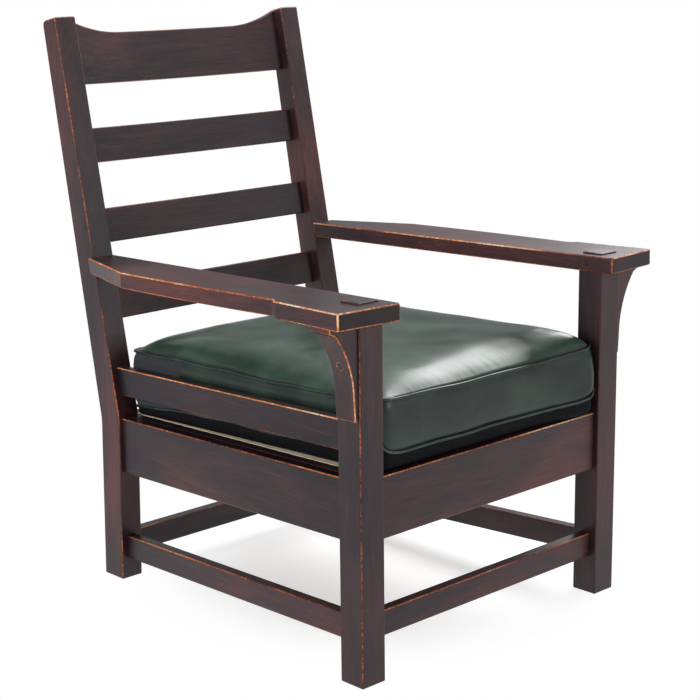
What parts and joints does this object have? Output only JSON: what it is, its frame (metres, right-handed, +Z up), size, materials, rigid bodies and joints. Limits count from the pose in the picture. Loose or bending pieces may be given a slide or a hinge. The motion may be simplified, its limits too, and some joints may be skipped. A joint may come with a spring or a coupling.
{
  "type": "mission armchair",
  "caption": "Mission-style armchair with a fixed bowed ladder back, flat corbelled arms, through tenons and a loose leather box cushion on a drop-in seat.",
  "frame": {"origin": "on the floor, at the centre of the bottom of the chair's bounding box", "axes": "+Z up, -Y the way the sitter faces, +X to the sitter's left"},
  "size_m": [0.7482, 0.8655, 1.015],
  "materials": {
    "fumed_oak": "satin, rubbed arrises",
    "raw_wood": "raw, matt",
    "steel_screws": "dull",
    "jute_webbing": "woven, matt",
    "green_leather": "semi-gloss"
  },
  "bodies": {
    "chair_frame": {"left_front_post": "fumed_oak", "right_front_post": "fumed_oak", "left_rear_post": "fumed_oak", "right_rear_post": "fumed_oak", "front_seat_rail": "fumed_oak", "rear_seat_rail": "fumed_oak", "left_seat_rail": "fumed_oak", "right_seat_rail": "fumed_oak", "left_side_liner": "fumed_oak", "right_side_liner": "fumed_oak", "left_upper_side_rail": "fumed_oak", "right_upper_side_rail": "fumed_oak", "front_stretcher": "fumed_oak", "rear_stretcher": "fumed_oak", "left_stretcher": "fumed_oak", "right_stretcher": "fumed_oak", "crest_rail": "fumed_oak", "upper_back_slat": "fumed_oak", "middle_back_slat": "fumed_oak", "lower_back_slat": "fumed_oak", "left_arm": "fumed_oak", "right_arm": "fumed_oak", "left_corbel": "fumed_oak", "right_corbel": "fumed_oak", "arm_pegs": "fumed_oak", "corbel_plugs": "fumed_oak", "left_front_corner_block": "raw_wood", "right_front_corner_block": "raw_wood", "left_rear_corner_block": "raw_wood", "right_rear_corner_block": "raw_wood", "corbel_screws": "steel_screws", "corner_block_screws": "steel_screws"},
    "drop_in_seat": {"seat_front_bar": "raw_wood", "seat_rear_bar": "raw_wood", "left_seat_side_bar": "raw_wood", "right_seat_side_bar": "raw_wood", "long_webbing": "jute_webbing", "cross_webbing": "jute_webbing"},
    "loose_cushion": {"cushion": "green_leather"}
  },
  "joints": [
    {"name": "seat_lift", "type": "slide", "parent": "chair_frame", "child": "drop_in_seat", "axis": [0, 0, 1], "range_m": [0, 0.06]},
    {"name": "cushion_slide", "type": "slide", "parent": "drop_in_seat", "child": "loose_cushion", "axis": [0, -0.9991, 0.0427], "range_m": [0, 0.62]}
  ]
}
